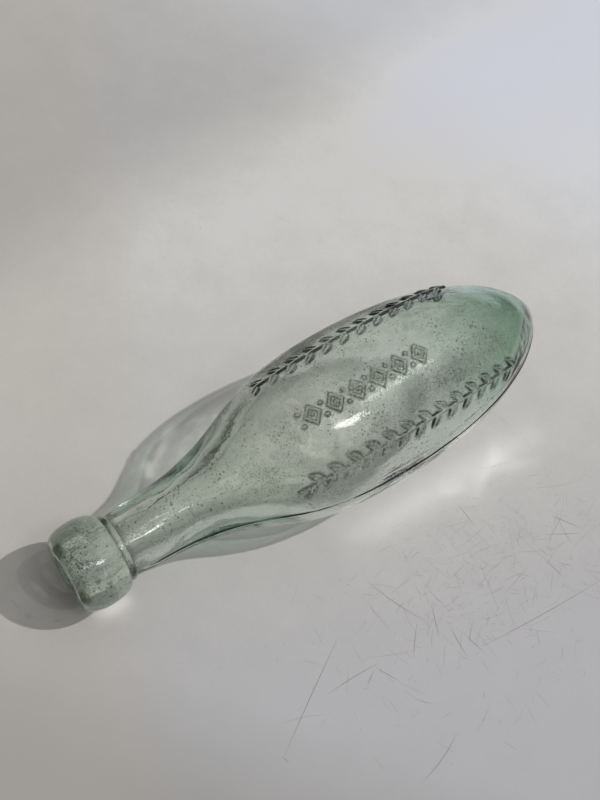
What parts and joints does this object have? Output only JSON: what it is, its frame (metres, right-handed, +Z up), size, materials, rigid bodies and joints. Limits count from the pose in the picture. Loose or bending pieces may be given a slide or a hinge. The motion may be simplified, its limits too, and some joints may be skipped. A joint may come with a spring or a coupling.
{
  "type": "hamilton bottle",
  "caption": "Round-ended torpedo bottle of mould-blown aqua glass, lying on its belly and lip, with a thick tooled lip round its neck and an open cork bore.",
  "frame": {"origin": "on the surface the bottle lies on, under the middle of its bounding box", "axes": "+Z up; +X towards the rounded base end, so the mouth is at -X; +Y across. The bottle lies on its belly and lip, with its own axis in the XZ plane, raised 8.6 degrees towards the base end."},
  "size_m": [0.2299, 0.0722, 0.0756],
  "materials": {
    "body_glass": "clear pale aqua glass, glossy, with small bubbles and a little surface wear",
    "lip_glass": "clear aqua glass, thicker and greener, tooled smooth, with grime in the crease"
  },
  "bodies": {
    "root": {"glass_body": "body_glass", "applied_lip": "lip_glass"}
  },
  "joints": []
}
